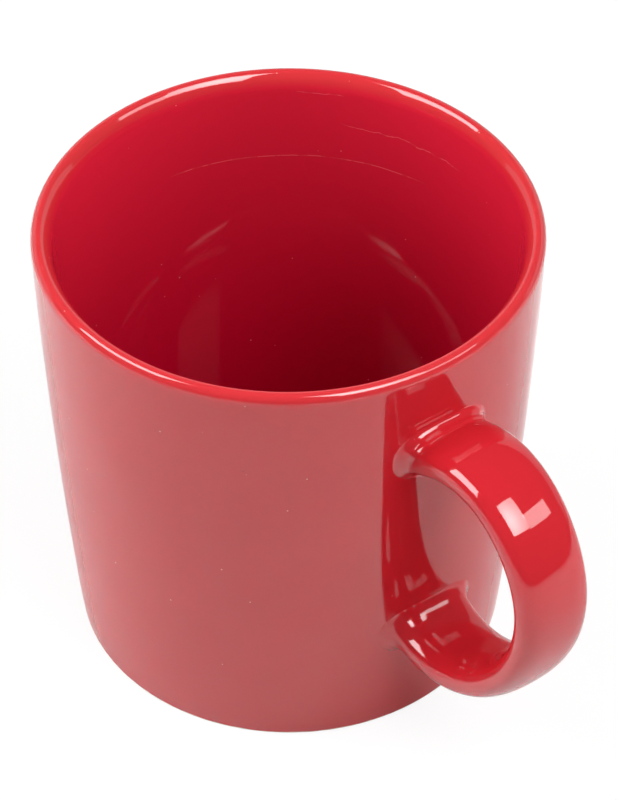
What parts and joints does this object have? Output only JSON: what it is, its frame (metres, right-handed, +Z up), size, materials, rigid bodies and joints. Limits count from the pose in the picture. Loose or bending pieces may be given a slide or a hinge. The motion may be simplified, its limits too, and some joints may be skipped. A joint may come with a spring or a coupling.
{
  "type": "coffee mug",
  "caption": "Round tapered drinking mug in glossy red glaze, with an ear-shaped strap handle luted to the wall and a recessed foot ring.",
  "frame": {"origin": "on the plane that the foot ring stands on, under the middle of the whole mug with its handle", "axes": "+Z up out of the mouth, +X towards the handle; the mug is the same on both sides of the XZ plane"},
  "size_m": [0.1118, 0.082, 0.0809],
  "materials": {
    "red_glaze": "glossy red glaze on fired stoneware"
  },
  "bodies": {
    "root": {"cup_body": "red_glaze", "handle": "red_glaze", "upper_handle_joint": "red_glaze", "lower_handle_joint": "red_glaze"}
  },
  "joints": []
}
